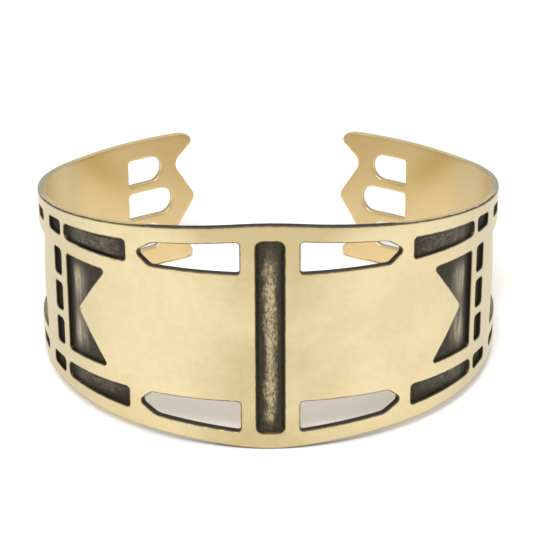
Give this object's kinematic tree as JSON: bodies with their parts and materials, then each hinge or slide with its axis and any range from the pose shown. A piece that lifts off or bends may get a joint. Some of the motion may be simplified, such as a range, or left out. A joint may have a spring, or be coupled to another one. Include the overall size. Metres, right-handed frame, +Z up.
{
  "type": "cuff bracelet",
  "caption": "Open cuff bracelet of thin brass, tall at the front and narrower at its waved ends, pierced and etched with straight-sided shapes, worn round a wrist",
  "frame": {"origin": "Middle of the footprint's bounding box, at floor height, with the cuff resting as it would by itself", "axes": "+X across the cuff towards its right side as seen from the front, +Y from the tall front towards the gap at the back, +Z up. The cuff's own axis leans back 6.7 degrees from +Z, because the band is taller at the front than at its ends"},
  "size_m": [0.0604, 0.0512, 0.0299],
  "materials": {
    "brass": "brushed, with blackened etched areas and cut edges"
  },
  "bodies": {
    "root": {"cuff": "brass"}
  },
  "joints": []
}
